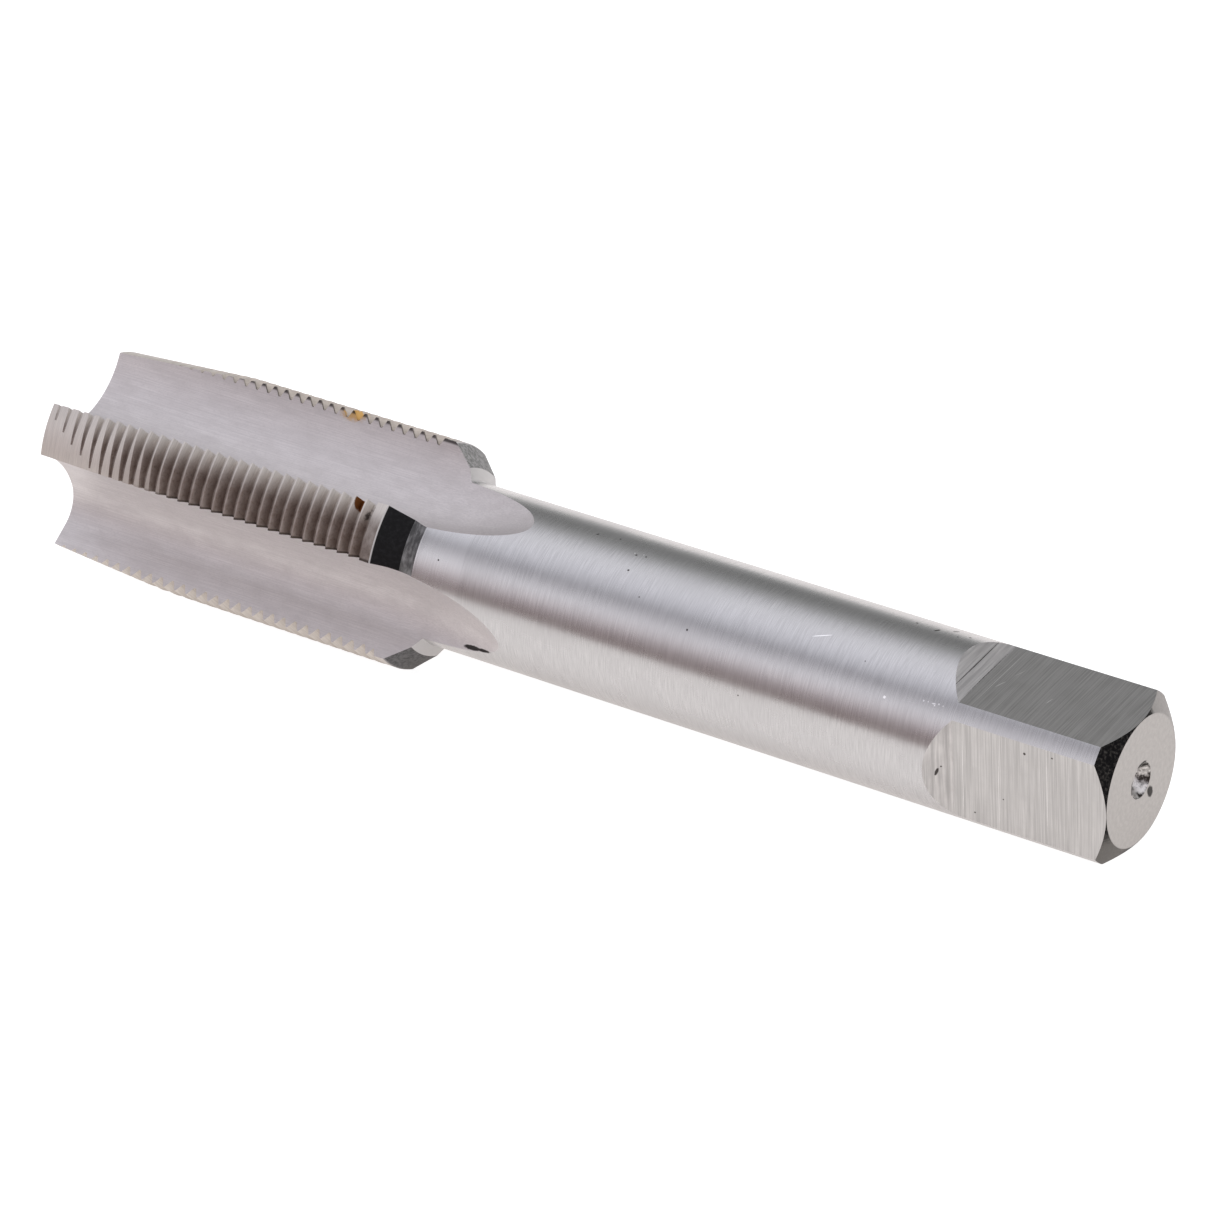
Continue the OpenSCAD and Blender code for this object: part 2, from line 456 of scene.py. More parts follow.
def flat_cutter(shape, angle):
    """What is milled away above one flat of the square and on its ramp."""
    low = shape.square_w / MM / 2
    high = low + CUT_HIGH
    ramp_end = SQUARE_L + RAMP_SLOPE * CUT_HIGH
    line = [(-CUT_OVER, low), (SQUARE_L, low), (ramp_end, high), (-CUT_OVER, high)]
    verts = [placed(shape, angle, s, u, v) for v in (CUT_HALF, -CUT_HALF) for s, u in line]
    return verts, lofted(2, len(line))


def outward(verts, faces):
    """The same closed skin with its faces turned outward."""
    volume = 0.0
    for face in faces:
        p = [np.array(verts[k]) for k in face]
        for i in range(1, len(p) - 1):
            volume += np.dot(p[0], np.cross(p[i], p[i + 1]))
    return faces if volume > 0 else [tuple(reversed(face)) for face in faces]


def to_mesh(name, verts, faces, regions):
    """A mesh in metres from millimetre vertices, with its faces' surfaces as material slots."""
    mesh = bpy.data.meshes.new(name)
    mesh.from_pydata([tuple(c * MM for c in v) for v in verts], [], faces)
    mesh.polygons.foreach_set("material_index", regions)
    mesh.update()
    return mesh


def linked(name, data):
    """A new object with this mesh, lamp or camera, in the scene."""
    obj = bpy.data.objects.new(name, data)
    bpy.context.scene.collection.objects.link(obj)
    return obj


def cutter_mesh(shape):
    """All flutes and flats in one mesh of separate closed skins."""
    cutters = [(*flute_cutter(shape, angle), FLUTE) for angle in FLUTES]
    cutters += [(*flat_cutter(shape, SQUARE_TURN + 90 * n), FLAT) for n in range(4)]
    verts, faces, regions = [], [], []
    for own, skin, kind in cutters:
        skin = outward(own, skin)
        faces += [tuple(k + len(verts) for k in face) for face in skin]
        regions += [RAMP if kind == FLAT and i == RAMP_FACE else kind for i in range(len(skin))]
        verts += own
    return to_mesh("cutters", verts, faces, regions)


def read(items, key, width=1, kind=float):
    """One attribute of all of a mesh's items, as an array."""
    values = np.empty(len(items) * width, dtype=kind)
    items.foreach_get(key, values)
    return values.reshape(-1, width) if width > 1 else values


def cut_body(shape):
    """The mesh of the finished body: the threaded blank less its flutes and flats."""
    verts, faces, regions = blank_mesh(shape)
    blank = linked("blank", to_mesh("blank", verts, outward(verts, faces), regions))
    cutters = linked("cutters", cutter_mesh(shape))
    for obj in (blank, cutters):
        for _ in range(SURFACES):
            obj.data.materials.append(None)
    cut = blank.modifiers.new("flutes and flats", "BOOLEAN")
    cut.operation, cut.solver, cut.object = "DIFFERENCE", "MANIFOLD", cutters
    done = bpy.data.meshes.new_from_object(blank.evaluated_get(bpy.context.evaluated_depsgraph_get()))
    for obj in (blank, cutters):
        mesh = obj.data
        bpy.data.objects.remove(obj)
        bpy.data.meshes.remove(mesh)
    if FLUTE not in read(done.polygons, "material_index", kind=np.int64):
        raise RuntimeError("the flutes weren't cut")
    done.name = "tap_body"
    return done


def corner_normals(shape, mesh):
    """The true normal of the ground surface at every corner, so that cut and narrow faces shade
    smoothly."""
    sides = read(mesh.polygons, "loop_total", kind=np.int64)
    face = np.repeat(np.arange(len(mesh.polygons)), sides)
    p = read(mesh.vertices, "co", 3)[read(mesh.loops, "vertex_index", kind=np.int64)] / MM
    kind = read(mesh.polygons, "material_index", kind=np.int64)[face]
    flat = read(mesh.polygons, "normal", 3)[face]
    middle = read(mesh.polygons, "center", 3)[face] / MM
    normal = flat.copy()

    # turned surfaces take the face's own normal, turned round the axis to where the corner is
    a = np.arctan2(middle[:, 1], middle[:, 2])
    out = flat[:, 1] * np.sin(a) + flat[:, 2] * np.cos(a)
    side = flat[:, 1] * np.cos(a) - flat[:, 2] * np.sin(a)
    side = np.where((kind >= CREST) & (kind <= ROOT), side, 0.0)
    b = np.where(np.hypot(p[:, 1], p[:, 2]) > 0.01, np.arctan2(p[:, 1], p[:, 2]), a)
    y = out * np.sin(b) + side * np.cos(b)
    z = out * np.cos(b) - side * np.sin(b)
    round_part = (kind < TIP_FACE) | (kind == END_CONE) | (kind == HOLE)
    normal[round_part] = np.stack([flat[:, 0], y, z], 1)[round_part]

    face_on = (np.abs(flat[:, 0]) > 0.9999) & (kind != FLUTE)
    normal[face_on] = np.stack([np.sign(flat[:, 0]), 0 * a, 0 * a], 1)[face_on]

    here = kind == FLUTE
    normal[here] = flute_normals(shape, p[here], middle[here])
    return normal / np.linalg.norm(normal, axis=1)[:, None]


def flute_normals(shape, p, middle):
    """Normals of the flutes at points p, on faces with these middles."""
    curve = flute_curve(shape)
    quarter = np.round(np.degrees(np.arctan2(middle[:, 1], middle[:, 2]) + DEEP_TURN) / 90) * 90
    a = np.radians(quarter)
    s = shape.length / MM / 2 - extra(shape) - p[:, 0]
    u = p[:, 1] * np.sin(a) + p[:, 2] * np.cos(a)
    v = -p[:, 1] * np.cos(a) + p[:, 2] * np.sin(a)

    # where the flute rises, its section is turned about the wheel's axis
    reach = curve["wheel_u"] - u
    lift = np.where(s < RISE_S, np.arctan2(RISE_S - s, reach), 0.0)
    own_u = np.where(s < RISE_S, curve["wheel_u"] - np.hypot(reach, RISE_S - s), u)
    q = turned(np.stack([own_u, v], 1), -DEEP_TURN)

    # the section's own normal points to the centre of its curve, or is that of the straight face
    straight = np.array([curve["along"][1], -curve["along"][0]])
    on_face = ((q - curve["start"]) @ curve["along"] > 0) & (q[:, 1] > 0)
    n = np.where((q[:, 1] > 0)[:, None], curve["face_c"], curve["heel_c"]) - q
    n /= np.linalg.norm(n, axis=1)[:, None]
    n = turned(np.where(on_face[:, None], straight, n), DEEP_TURN)
    nu, nv, ns = n[:, 0] * np.cos(lift), n[:, 1], n[:, 0] * np.sin(lift)
    return np.stack([-ns, nu * np.sin(a) - nv * np.cos(a), nu * np.cos(a) + nv * np.sin(a)], 1)


# ---- nodes


def add(tree, kind, inputs=None, stops=None, **settings):
    """Adds a node with its settings, its sockets' values or links, and its colour stops. A node among
    the inputs stands for its first output."""
    made = tree.nodes.new(kind)
    for key, value in settings.items():
        setattr(made, key, value)
    for key, value in (inputs or {}).items():
        if isinstance(value, bpy.types.Node):
            value = next(socket for socket in value.outputs if socket.enabled)
        if isinstance(value, bpy.types.NodeSocket):
            tree.links.new(value, made.inputs[key])
        else:
            made.inputs[key].default_value = value
    for i, (place, colour) in enumerate(stops or ()):
        elements = made.color_ramp.elements
        element = elements[i] if i < 2 else elements.new(place)
        element.position = place
        element.color = colour
    return made


def shaded(colour, share):
    """The colour made darker or lighter: each of its parts times share."""
    return [part * share for part in colour[:3]] + [1.0]


def along(s):
    """The place along X, in metres, of a mark or a change of finish at s."""
    return (LENGTH / 2 - s) * MM


def grain(tree, sizes, shift, detail):
    """Noise whose features measure these millimetres along X, Y and Z. Very unlike sizes make lines."""
    place = add(tree, "ShaderNodeTexCoord").outputs["Object"]
    scale = [1 / (size * MM) for size in sizes]
    inputs = {"Vector": place, "Location": (shift, shift, shift), "Scale": scale}
    scaled = add(tree, "ShaderNodeMapping", inputs)
    inputs = {"Vector": scaled, "Scale": 1.0, "Detail": detail, "Roughness": 0.6}
    return add(tree, "ShaderNodeTexNoise", inputs)


def layer(tree, under, over, pattern, low, high, share=1.0):
    """The colour under, with the colour over laid on it where the pattern goes from low to high, at
    most by share."""
    inputs = {"Value": pattern, "From Min": low, "From Max": high, "To Max": share}
    part = add(tree, "ShaderNodeMapRange", inputs, interpolation_type="SMOOTHSTEP")
    return add(tree, "ShaderNodeMix", {0: part, 6: under, 7: over}, data_type="RGBA")


def marks(tree, places, fray=0.6):
    """How far a point is from the nearest mark, in half widths of that mark, with a frayed edge. A mark
    is drawn from one point to another, in millimetres, with its width. A dot has both points alike."""
    place = add(tree, "ShaderNodeTexCoord").outputs["Object"]
    wander = grain(tree, (0.3, 0.3, 0.3), 3.0, 3.0)
    nearest = None
    for start, end, width in places:
        way = Vector(end) - Vector(start)
        turn = way.to_track_quat("X", "Z").to_euler() if way.length > 0.001 else (0, 0, 0)
        middle = (Vector(start) + Vector(end)) / 2 * MM
        half = width / 2 * MM
        size = (way.length / 2 * MM + half, half, half)
        inputs = {"Vector": place, "Location": middle, "Rotation": turn, "Scale": size}
        own = add(tree, "ShaderNodeMapping", inputs, vector_type="TEXTURE")
        off = add(tree, "ShaderNodeVectorMath", {0: own}, operation="LENGTH")
        if nearest:
            off = add(tree, "ShaderNodeMath", {0: nearest, 1: off}, operation="MINIMUM")
        nearest = off
    return add(tree, "ShaderNodeMath", {0: wander, 1: fray, 2: nearest}, operation="MULTIPLY_ADD")


def tap_axes(tree):
    """A point's places along X, Y and Z."""
    place = add(tree, "ShaderNodeTexCoord").outputs["Object"]
    return add(tree, "ShaderNodeSeparateXYZ", {"Vector": place}).outputs


def from_axis(tree):
    """How far a point is from the tap's axis."""
    axes = tap_axes(tree)
    across = add(tree, "ShaderNodeCombineXYZ", {"Y": axes["Y"], "Z": axes["Z"]})
    return add(tree, "ShaderNodeVectorMath", {0: across}, operation="LENGTH")


def land_angle(tree):
    """The angle in degrees from the middle of the nearest land, growing towards its cutting edge."""
    axes = tap_axes(tree)
    turn = add(tree, "ShaderNodeMath", {0: axes["Y"], 1: axes["Z"]}, operation="ARCTAN2")
    turn = add(tree, "ShaderNodeMath", {0: turn, 1: 180 / math.pi}, operation="MULTIPLY")
    turn = add(tree, "ShaderNodeMath", {0: turn, 1: 90.0}, operation="FLOORED_MODULO")
    return add(tree, "ShaderNodeMath", {0: turn, 1: 45.0}, operation="SUBTRACT")


def turned_up(tree):
    """How far a point lies on the side turned up to the front, from 0 on the other lands to 1. It masks
    painted shade and a painted reflection in the finishes.
    """
    place = add(tree, "ShaderNodeTexCoord").outputs["Object"]
    inputs = {0: place, 1: (0, -1 / MM, 1 / MM)}
    front = add(tree, "ShaderNodeVectorMath", inputs, operation="DOT_PRODUCT")
    return add(tree, "ShaderNodeMapRange", {"Value": front, "From Min": 4.0, "From Max": 12.0})


def steel(name, rough, metallic=1.0, stretch=0.0, across=False):
    """A new steel material: itself, its tree and its shader. stretch draws its highlights out along the
    tap, or across it."""
    made = bpy.data.materials.new(name)
    made.use_nodes = True
    tree = made.node_tree
    shader = tree.nodes["Principled BSDF"]
    shader.inputs["Metallic"].default_value = metallic
    shader.inputs["Roughness"].default_value = rough
    if stretch:
        shader.inputs["Anisotropic"].default_value = stretch
        shader.inputs["Anisotropic Rotation"].default_value = 0.25 if across else 0.0
        tangent = add(tree, "ShaderNodeTangent", direction_type="RADIAL", axis="X")
        tree.links.new(tangent.outputs[0], shader.inputs["Tangent"])
    return made, tree, shader


def dressed(tree, shader, colour, height, depth, uneven, spread):
    """Links a finish's colour and bump, whose height is depth in millimetres, and lets its roughness
    grow by spread where the pattern uneven is high."""
    tree.links.new(colour.outputs[2], shader.inputs["Base Color"])
    bump = add(tree, "ShaderNodeBump", {"Height": height, "Distance": depth * MM})
    tree.links.new(bump.outputs[0], shader.inputs["Normal"])
    rough = shader.inputs["Roughness"].default_value
    inputs = {"Value": uneven, "From Min": 0.3, "From Max": 0.7, "To Min": rough, "To Max": rough + spread}
    span = add(tree, "ShaderNodeMapRange", inputs)
    tree.links.new(span.outputs[0], shader.inputs["Roughness"])


# ---- marks


def on_tap(s, angle, radius):
    """The point at s, at an angle and a radius."""
    a = math.radians(angle)
    return (LENGTH / 2 - s, radius * math.sin(a), radius * math.cos(a))


def on_flat(side, s, t, height=7.0):
    """The point at s on the flat that faces side degrees, and t from the flat's middle line."""
    x, y, z = on_tap(s, side, height)
    a = math.radians(side)
    return (x, y + t * math.cos(a), z - t * math.sin(a))


def dot(place, width):
    """A mark that is a dot."""
    return (place, place, width)


UPPER, FRONT = SQUARE_TURN, SQUARE_TURN - 90

SHANK_PITS = [
    (on_tap(64.0, 6.2, 9), on_tap(63.9, 7.4, 9), 0.16),
    (on_tap(24.4, 16.5, 9), on_tap(24.2, 19.5, 9), 0.3),
    (on_tap(22.9, 24.8, 9), on_tap(22.7, 27.5, 9), 0.34),
]
SHANK_PITS += [
    dot(on_tap(s, angle, 9), width)
    for s, angle, width in (
        (57.9, -15.9, 0.24), (48.6, -42.9, 0.22), (55.2, -31.8, 0.16), (58.3, -1.9, 0.24),
        (57.2, -0.9, 0.2), (61.4, 9.1, 0.2), (20.9, 22.5, 0.26), (26.8, 19.5, 0.26),
        (21.9, 17.6, 0.18), (79.1, -48.6, 0.2), (28.6, -27.3, 0.14), (41.3, -74.0, 0.16),
    )
]
# bright nicks, and painted glints on the edges of the pits beside them
SHANK_NICKS_AND_GLINTS = [
    (on_tap(19.9, -40.3, 9), on_tap(19.6, -40.1, 9), 0.16),
    (on_tap(35.2, -21.7, 9), on_tap(33.5, -17.1, 9), 0.12),
]
SHANK_NICKS_AND_GLINTS += [
    dot(on_tap(s, angle, 9), width)
    for s, angle, width in (
        (58.6, -0.6, 0.16), (57.6, 0.4, 0.14), (25.1, -45.6, 0.3), (20.9, -40.3, 0.2),
        (20.4, -40.1, 0.14), (19.2, -39.6, 0.18), (18.7, -39.9, 0.12), (19.6, -41.2, 0.16),
    )
]
THREAD_RUST = [
    (on_tap(88.9, -31.3, 12.0), on_tap(88.8, -33.4, 11.9), 1.15),
    (on_tap(88.75, -33.2, 11.8), on_tap(88.5, -35.6, 11.65), 0.6),
]
# painted shade, dark brown, in the groove beside the collar
THREAD_GROOVE_SHADE = [
    (on_tap(87.0, -32.5, 11.7), on_tap(87.25, -37.6, 11.8), 0.3),
    (on_tap(87.25, -37.0, 11.8), on_tap(87.35, -39.0, 11.85), 0.6),
]
GOLD_STAIN = [
    (on_tap(99.1, 31.0, 12.1), on_tap(97.7, 32.5, 12.2), 1.2),
    dot(on_tap(98.0, 36.0, 12.2), 1.0),
]
OIL_BURN = [
    (on_tap(76.1, -113.5, 8.68), on_tap(74.2, -110.5, 8.79), 0.5),
    (on_tap(74.4, -110.6, 8.78), on_tap(72.6, -107.6, 8.98), 0.34),
]
FLAT_DOTS = [
    dot(on_flat(FRONT, 9.1, 4.4), 0.3),
    dot(on_flat(FRONT, 6.0, 4.9), 0.2),
    dot(on_flat(FRONT, 11.6, -1.9), 0.16),
    dot(on_flat(FRONT, 14.9, -4.6), 0.2),
]
FLAT_SCRATCHES = [
    (on_flat(UPPER, 15.5, -1.5), on_flat(UPPER, 15.1, -0.3), 0.13),
    (on_flat(UPPER, 14.8, 1.0), on_flat(UPPER, 14.3, 2.4), 0.07),
    (on_flat(UPPER, 9.7, -1.6), on_flat(UPPER, 9.5, -0.7), 0.12),
    (on_flat(UPPER, 16.0, -4.9), on_flat(UPPER, 15.9, 5.2), 0.07),
    (on_flat(FRONT, 16.2, -5.2), on_flat(FRONT, 16.2, 5.0), 0.07),
    (on_flat(FRONT, 12.1, -5.4), on_flat(FRONT, 12.1, 3.0), 0.06),
    (on_flat(FRONT, 6.6, -4.0), on_flat(FRONT, 6.6, 5.2), 0.06),
]
RAMP_MARKS = [
    (on_flat(UPPER, 18.42, -4.8, 7.94), on_flat(UPPER, 18.46, 4.6, 7.96), 0.09),
    (on_flat(UPPER, 17.36, -5.6), on_flat(UPPER, 17.36, 5.6), 0.1),
    (on_flat(FRONT, 18.7, -0.6, 8.1), on_flat(FRONT, 18.5, 0.0, 8.0), 0.34),
    dot(on_flat(FRONT, 18.2, 0.3, 7.8), 0.2),
]
# a dent by the centre hole painted dark with its shade, and painted shade in two arcs round the hole's
# mouth
DISC_DENTS_AND_SHADE = [
    ((LENGTH / 2, 1.45, -2.2), (LENGTH / 2, 1.62, -2.65), 0.9),
    (on_tap(0.0, 26.0, 1.95), on_tap(0.0, -8.0, 1.95), 0.42),
    (on_tap(0.0, -64.0, 1.95), on_tap(0.0, -96.0, 1.95), 0.3),
]
# the two corners of the end chamfer that carry a painted reflection of grazing light
FAR_CORNER_SHEEN = [dot(on_tap(0.65, 49.3, 8.0), 6.4)]
LOW_CORNER_SHEEN = [dot(on_tap(0.65, -130.7, 8.0), 6.4)]


# ---- finishes
#
# Where a finish begins to change and where it has: places along X, distances from the axis, and
# angles from the middle of a land

PALE = along(76.0), along(76.4)
# where the painted highlight on the scale's edge to the collar begins
EDGE_HIGHLIGHT = along(BACK_S - 0.16), along(BACK_S - 0.08)
LEAD_DIRT_AND_SHADE = along(122.0), along(109.0)
LEAD_HEEL = along(117.0), along(111.0)
HEEL_DEPTH = 12.02 * MM, 12.3 * MM
RIM = 6.75 * MM, 7.15 * MM
# land angles where painted shade darkens the flutes at each tooth's heel
HEEL_SHADE = -12.5, -13.5
HEEL_LINE = -13.0, -14.0


def ground_shank(colours):
    """High speed steel, cylindrically ground: a soft gloss that runs along the shank, broken by short
    marks of the wheel round it. The real marks are some 0.02 mm apart and are drawn 0.09 mm apart."""
    made, tree, shader = steel("ground steel, shank", 0.24, stretch=0.5, across=True)
    rings = grain(tree, (0.09, 2.2, 2.2), 1.0, 4.0)
    cloud = grain(tree, (9, 5, 5), 2.0, 3.0)
    colour = layer(tree, shaded(colours.shank, 0.84), shaded(colours.shank, 1.02), rings, 0.32, 0.68)
    colour = layer(tree, colour, shaded(colours.shank, 0.85), cloud, 0.35, 0.8, 0.3)
    # the last few millimetres before the neck were ground once more, and look paler
    colour = layer(tree, colour, shaded(colours.shank, 1.12), tap_axes(tree)["X"], *PALE, 0.45)
    colour = layer(tree, colour, linear("#3A3634"), marks(tree, SHANK_PITS + OIL_BURN), 1.45, 1.15, 0.9)
    # nicks painted bright, with painted glints on the edges of pits
    colour = layer(tree, colour, linear("#FBFBFB"), marks(tree, SHANK_NICKS_AND_GLINTS), 1.45, 1.15)
    dressed(tree, shader, colour, rings, 0.001, cloud, 0.06)
    return made


def turned_neck(colours):
    """The step behind the thread, plunge ground and left rougher: a dull grey with coarse streaks round
    it, 0.25 mm apart, and darker on the side turned up to the front, where the darkness is painted shade."""
    made, tree, shader = steel("ground steel, neck", 0.42, stretch=0.4, across=True)
    streaks = grain(tree, (0.25, 1.2, 1.2), 1.5, 4.0)
    dark = layer(tree, shaded(colours.shank, 0.16), shaded(colours.shank, 0.5), streaks, 0.35, 0.72)
    # painted shade: the neck is darker on the side turned up to the front
    colour = layer(tree, shaded(colours.shank, 0.95), dark, turned_up(tree), 0.1, 0.6)
    dressed(tree, shader, colour, streaks, 0.006, streaks, 0.1)
    return made


def ground_flute(colours):
    """Flutes ground along the tap by a shaped wheel: an even satin with a little pink in it and faint
    lines along the tap. The lines are drawn 0.08 mm apart, and the real ones are finer."""
    made, tree, shader = steel("ground steel, flutes", 0.5, stretch=0.4)
    lines = grain(tree, (7, 0.08, 0.08), 4.0, 4.0)
    cloud = grain(tree, (2.6, 1.1, 1.1), 5.0, 4.0)
    specks = grain(tree, (0.3, 0.2, 0.2), 5.5, 3.0)
    colour = layer(tree, shaded(colours.flute, 0.86), colours.flute, lines, 0.3, 0.7)
    colour = layer(tree, colour, shaded(colours.flute, 0.86), cloud, 0.35, 0.75, 0.55)
    colour = layer(tree, colour, shaded(colours.flute, 0.8), specks, 0.45, 0.75, 0.5)
    colour = layer(tree, colour, colours.gold, marks(tree, GOLD_STAIN, 1.2), 2.3, 1.3, 0.8)
    colour = layer(tree, colour, linear("#2A2725"), marks(tree, OIL_BURN), 1.45, 1.15, 0.95)
    # painted shade along the sharp heel of every tooth, from its crest down to half its height
    clear, full = HEEL_SHADE
    inputs = {"Value": land_angle(tree), "From Min": clear, "From Max": full, "To Max": 0.85}
    heel = add(tree, "ShaderNodeMapRange", inputs)
    colour = layer(tree, colour, shaded(colours.residue, 0.14), from_axis(tree), *HEEL_DEPTH, heel)
    dressed(tree, shader, colour, lines, 0.0014, cloud, 0.1)
    return made


def ground_thread(name, colours, rough, residue, clear, full, share=1.0, at_tip=1.0):
    """The thread's ground sides: a clean satin with lines round the tap, drawn 0.07 mm apart. Oil
    residue and fine swarf dull it brown, and painted shade darkens it along with them, from nothing at
    the land angle clear to all of it at the angle full. It is mottled in spots of 1 mm and specks of
    0.2 mm, is darkest on the side turned up to the front, where the extra darkness is painted shade,
    thins out on the lead to the share at_tip, and a dark line runs along each heel."""
    made, tree, shader = steel(name, rough)
    lines = grain(tree, (0.07, 2.5, 2.5), 6.0, 3.0)
    dirt_and_shade = grain(tree, (0.9, 1.3, 1.3), 7.0, 5.0)
    specks = grain(tree, (0.2, 0.25, 0.25), 7.5, 3.0)
    land, x = land_angle(tree), tap_axes(tree)["X"]
    start, end = LEAD_DIRT_AND_SHADE
    inputs = {"Value": x, "From Min": start, "From Max": end, "To Min": at_tip * share, "To Max": share}
    lead = add(tree, "ShaderNodeMapRange", inputs)
    # painted shade: the brown is strongest on the side turned up to the front
    most = add(tree, "ShaderNodeMapRange", {"Value": turned_up(tree), "To Min": 0.3, "To Max": 1.0})
    most = add(tree, "ShaderNodeMath", {0: most, 1: lead}, operation="MULTIPLY")
    least = add(tree, "ShaderNodeMath", {0: most, 1: 0.75}, operation="MULTIPLY")
    inputs = {"Value": dirt_and_shade, "From Min": 0.3, "From Max": 0.6, "To Min": least, "To Max": most}
    amount = add(tree, "ShaderNodeMapRange", inputs)
    colour = layer(tree, shaded(colours.thread, 0.84), shaded(colours.thread, 1.0), lines, 0.3, 0.7)
    dirty = layer(tree, shaded(residue, 1.1), shaded(residue, 0.75), specks, 0.45, 0.75)
    # partly oil residue and partly painted shade, from the cutting edge to the heel of each land
    colour = layer(tree, colour, dirty, land, clear, full, amount)
    start, end = LEAD_HEEL
    heel = add(tree, "ShaderNodeMapRange", {"Value": x, "From Min": start, "From Max": end, "To Max": 0.8})
    colour = layer(tree, colour, shaded(colours.residue, 0.16), land, *HEEL_LINE, heel)
    colour = layer(tree, colour, colours.gold, marks(tree, GOLD_STAIN), 1.6, 1.2, 0.95)
    # painted shade, dark brown, in the groove beside the collar
    stain = marks(tree, THREAD_GROOVE_SHADE, 1.8)
    colour = layer(tree, colour, shaded(colours.residue, 0.16), stain, 2.3, 1.3, 0.9)
    colour = layer(tree, colour, colours.rust, marks(tree, THREAD_RUST), 1.5, 1.2)
    dressed(tree, shader, colour, lines, 0.001, dirt_and_shade, 0.12)
    return made


def black_scale(colours):
    """Hardening scale that the grinding left: a thin black oxide, nearly matt and mottled in spots of
    0.35 mm, with a painted reflection of grazing light that turns it grey on the lands that the front
    one hides."""
    made, tree, shader = steel("black hardening scale", 0.42, metallic=0.0)
    mottle = grain(tree, (0.35, 0.35, 0.35), 8.0, 4.0)
    colour = layer(tree, shaded(colours.scale, 0.5), shaded(colours.scale, 1.8), mottle, 0.4, 0.75)
    # painted reflection: grey, as black oxide looks at grazing angles, on the lands that the front one
    # hides
    grazing_sheen = layer(tree, linear("#686866"), linear("#9A9997"), mottle, 0.35, 0.65)
    colour = layer(tree, grazing_sheen, colour, turned_up(tree), 0.1, 0.6)
    # a painted highlight along its edge to the collar
    colour = layer(tree, colour, linear("#CFCCC9"), tap_axes(tree)["X"], *EDGE_HIGHLIGHT, 0.8)
    dressed(tree, shader, colour, mottle, 0.008, mottle, 0.14)
    shader.inputs["IOR"].default_value = 1.45
    shader.inputs["Specular IOR Level"].default_value = 0.2
    return made


def oxide_chamfer(colours):
    """The chamfer at the square's end: black and rough from hardening, mottled in spots of 0.3 mm, with a
    painted reflection of grazing light that turns it grey on the corner below and a smooth pale grey on
    the corner that lies away from the front."""
    made, tree, shader = steel("hardening oxide, end chamfer", 0.45)
    mottle = grain(tree, (0.3, 0.3, 0.3), 9.0, 5.0)
    colour = layer(tree, shaded(colours.scale, 1.4), linear("#55534F"), mottle, 0.45, 0.8)
    # painted reflection of grazing light: grey on the corner below, smooth pale grey on the far corner
    colour = layer(tree, colour, linear("#7F7D79"), marks(tree, LOW_CORNER_SHEEN, 0.8), 1.7, 0.9, 0.75)
    colour = layer(tree, colour, shaded(colours.ends, 0.75), marks(tree, FAR_CORNER_SHEEN, 0.2), 1.3, 1.0)
    dressed(tree, shader, colour, mottle, 0.03, mottle, 0.15)
    return made


def milled_flat(name, colour, spacing, rough, depth, low, dark, bright=()):
    """Milled side of the square: straight lines across the tap, as far apart as the cutter's feed, of
    uneven brightness. low is how dark the darkest of them are."""
    made, tree, shader = steel(name, rough, stretch=0.5, across=True)
    lines = grain(tree, (spacing, 9, 9), 10.0, 4.0)
    cloud = grain(tree, (2.0, 2.0, 2.0), 11.0, 4.0)
    metal = layer(tree, shaded(colour, low), colour, lines, 0.32, 0.68)
    metal = layer(tree, metal, shaded(colour, 0.82), cloud, 0.4, 0.75, 0.4)
    if bright:
        metal = layer(tree, metal, linear("#FBFAF8"), marks(tree, bright, 0.5), 1.5, 0.9, 0.6)
    metal = layer(tree, metal, linear("#38332F"), marks(tree, dark), 1.45, 1.1, 0.9)
    dressed(tree, shader, metal, lines, depth, cloud, 0.1)
    return made


def faced_end(colours):
    """Faced steel: a pale satin with faint rings 0.3 mm apart, mottled in spots of 0.5 mm, darker at
    its rim, with a dent by the centre hole painted dark with its shade, and painted shade in arcs round
    the hole's mouth."""
    made, tree, shader = steel("faced steel, ends", 0.42)
    out = from_axis(tree)
    inputs = {"W": out, "Scale": 1 / (0.3 * MM), "Detail": 3.0}
    rings = add(tree, "ShaderNodeTexNoise", inputs, noise_dimensions="1D")
    mottle = grain(tree, (0.5, 0.5, 0.5), 12.0, 5.0)
    colour = layer(tree, shaded(colours.ends, 0.83), colours.ends, mottle, 0.3, 0.7)
    colour = layer(tree, colour, shaded(colours.ends, 0.86), rings, 0.4, 0.7, 0.4)
    colour = layer(tree, colour, shaded(colours.ends, 0.6), out, *RIM, 0.7)
    # the dent painted dark with its shade, and painted shade round the hole's mouth
    colour = layer(tree, colour, linear("#1F1C1A"), marks(tree, DISC_DENTS_AND_SHADE), 1.6, 1.15, 0.95)
    dressed(tree, shader, colour, mottle, 0.006, mottle, 0.1)
    return made


def torn_hole(colours):
    """The centre holes, knocked about by use: dark, partly with painted shade, and torn spots of 1 mm
    painted bright as glints.
    """
    made, tree, shader = steel("drilled steel, centre holes", 0.25)
    torn_spots_and_glints = grain(tree, (0.95, 0.95, 0.95), 13.0, 4.0)
    # painted shade inside the hole, and painted glints on its torn spots
    colour = layer(tree, linear("#3E3A37"), shaded(colours.ends, 1.5), torn_spots_and_glints, 0.38, 0.6)
    dressed(tree, shader, colour, torn_spots_and_glints, 0.12, torn_spots_and_glints, 0.3)
    return made


